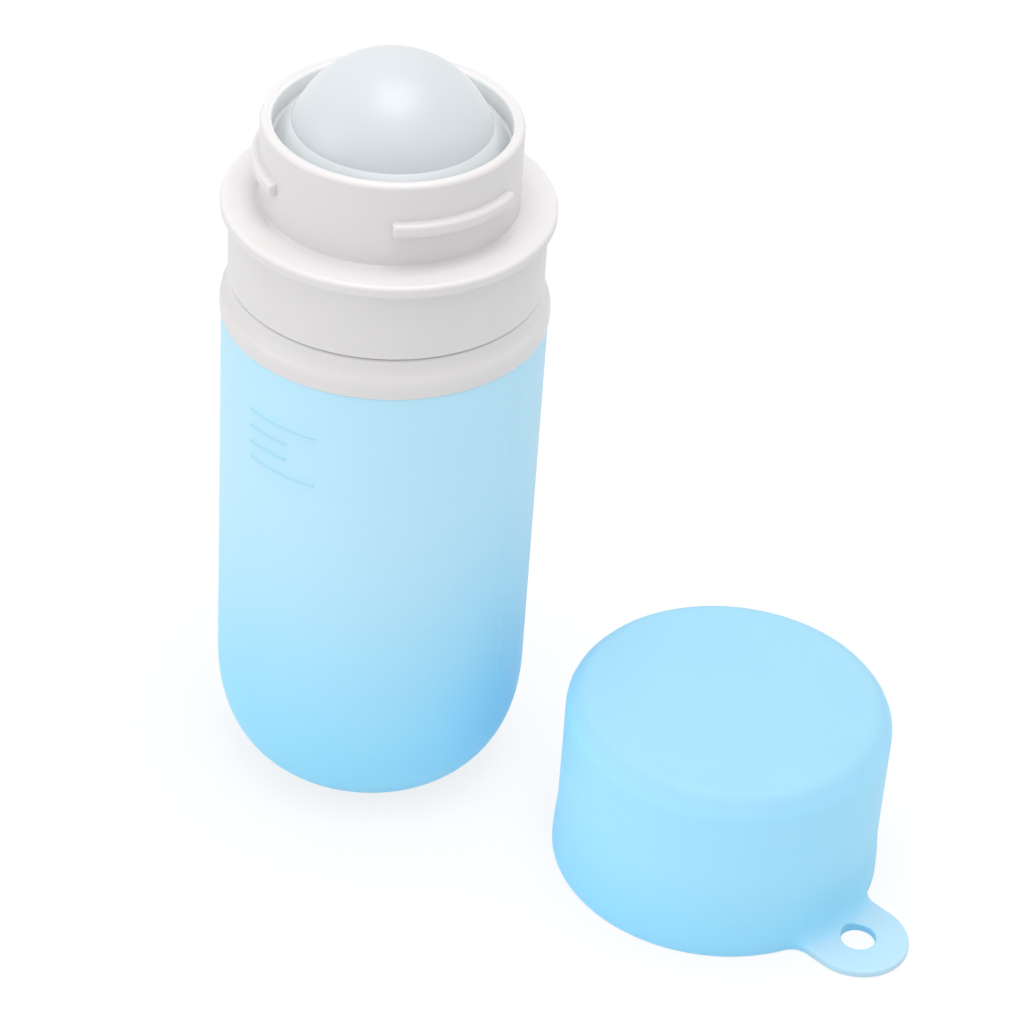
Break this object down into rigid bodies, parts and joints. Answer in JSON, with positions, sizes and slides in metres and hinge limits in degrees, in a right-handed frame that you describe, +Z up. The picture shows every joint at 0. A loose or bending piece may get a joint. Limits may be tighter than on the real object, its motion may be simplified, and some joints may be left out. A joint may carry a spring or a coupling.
{
  "type": "roll on bottle",
  "caption": "Soft round-bottomed squeeze bottle with a collar, a screw-on roller-ball head and a separate soft cap with a hanging loop, for rolling lotion onto skin.",
  "frame": {"origin": "centre of the bottle's flat base, on the surface that the bottle and the cap stand on", "axes": "+Z up along the bottle's axis; +X to the right as the picture shows it, towards the cap; +Y away from the camera"},
  "size_m": [0.0907, 0.0613, 0.1016],
  "materials": {
    "blue_silicone": "matte translucent",
    "white_plastic": "satin",
    "clear_plastic": "satin translucent",
    "frosted_plastic": "frosted translucent",
    "seal_rubber": "matte"
  },
  "bodies": {
    "bottle": {"squeeze_body": "blue_silicone", "clamp_collar": "white_plastic", "neck_insert": "white_plastic"},
    "gasket": {"neck_gasket": "seal_rubber"},
    "head": {"roller_head": "white_plastic", "ball_seat": "clear_plastic"},
    "ball": {"roller_ball": "frosted_plastic"},
    "cap": {"cap_shell": "blue_silicone", "cap_liner": "white_plastic"}
  },
  "joints": [
    {"name": "head_rise", "type": "slide", "parent": "bottle", "child": "gasket", "axis": [0, 0, 1], "range_m": [0, 0.0081]},
    {"name": "head_turn", "type": "hinge", "parent": "gasket", "child": "head", "pos_m": [0, 0, 0.0765], "axis": [0, 0, 1], "range_deg": [0, 540]},
    {"name": "ball_roll", "type": "hinge", "parent": "head", "child": "ball", "pos_m": [0, 0, 0.0889], "axis": [1, 0, 0], "continuous": true},
    {"name": "cap_lift", "type": "slide", "parent": "bottle", "child": "cap", "axis": [0, 0, 1], "range_m": [0, 0.105]}
  ],
  "couplings": [
    {"joint": "head_rise", "follows": "head_turn", "m_per_rad": 0.000859}
  ]
}
